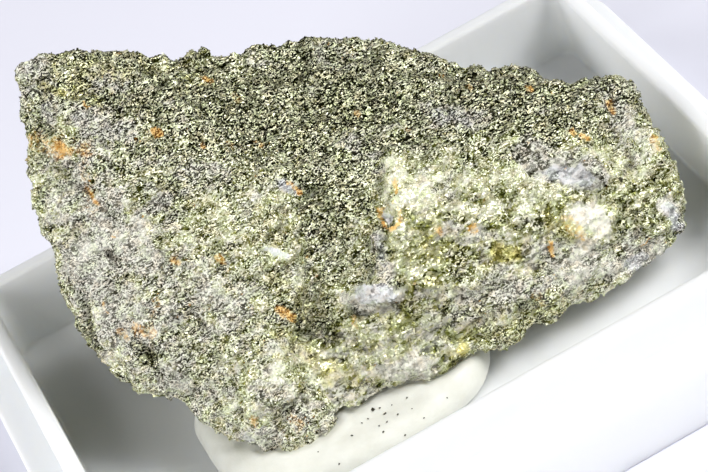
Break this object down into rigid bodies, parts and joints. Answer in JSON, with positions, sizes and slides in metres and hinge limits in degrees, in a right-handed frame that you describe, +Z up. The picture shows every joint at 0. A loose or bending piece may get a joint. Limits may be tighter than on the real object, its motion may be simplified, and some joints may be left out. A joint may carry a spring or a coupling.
{
  "type": "boxed chalcopyrite specimen",
  "caption": "Rough brassy chalcopyrite ore specimen held by white putty in the base of a white rectangular display box.",
  "frame": {"origin": "centre of the box's underside, on the surface that it stands on", "axes": "+X along the box's long side, +Z up, and the side that shows the most of the stone faces -Y"},
  "size_m": [0.0562, 0.0444, 0.0275],
  "materials": {
    "chalcopyrite_ore": "granular, brassy sparkle with pale quartz and rust spots",
    "white_putty": "matte",
    "white_plastic": "satin"
  },
  "bodies": {
    "root": {"chalcopyrite_stone": "chalcopyrite_ore", "putty_pad": "white_putty", "display_box_base": "white_plastic"}
  },
  "joints": []
}
